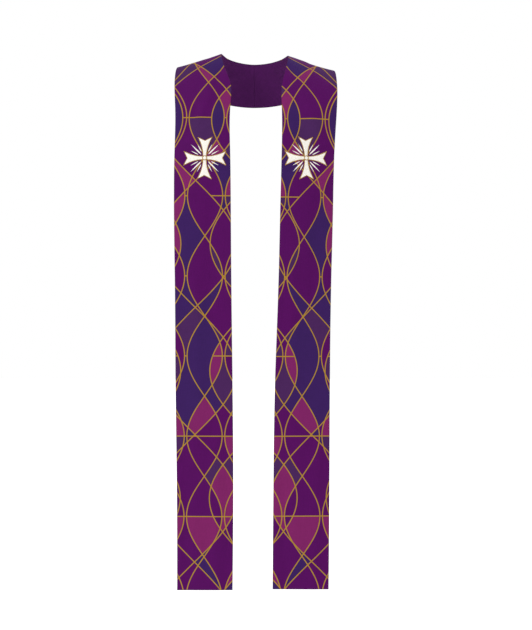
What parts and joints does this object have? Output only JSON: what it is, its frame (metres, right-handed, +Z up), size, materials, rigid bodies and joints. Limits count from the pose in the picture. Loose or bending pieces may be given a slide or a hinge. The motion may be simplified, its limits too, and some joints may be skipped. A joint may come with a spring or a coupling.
{
  "type": "clerical stole",
  "caption": "Long shaped band of patterned purple cloth worn open round the neck, its halves seamed at the centre back and hanging in front to straight hems.",
  "frame": {"origin": "the nape: the neck edge of the centre-back seam, where the wearer's neck holds the stole", "axes": "+Z up, the fronts face -Y, +X to the right as seen from the front"},
  "size_m": [0.3837, 0.2951, 1.2598],
  "materials": {
    "stole_cloth": "matte woven cloth, printed in purples with fine gold lines",
    "backing_cloth": "plain matte woven backing",
    "emblem_thread": "off-white satin-stitch embroidery",
    "gold_thread": "couched gold-coloured cord, satin sheen"
  },
  "bodies": {
    "root": {"panel_left": "stole_cloth", "panel_right": "stole_cloth"}
  },
  "joints": []
}
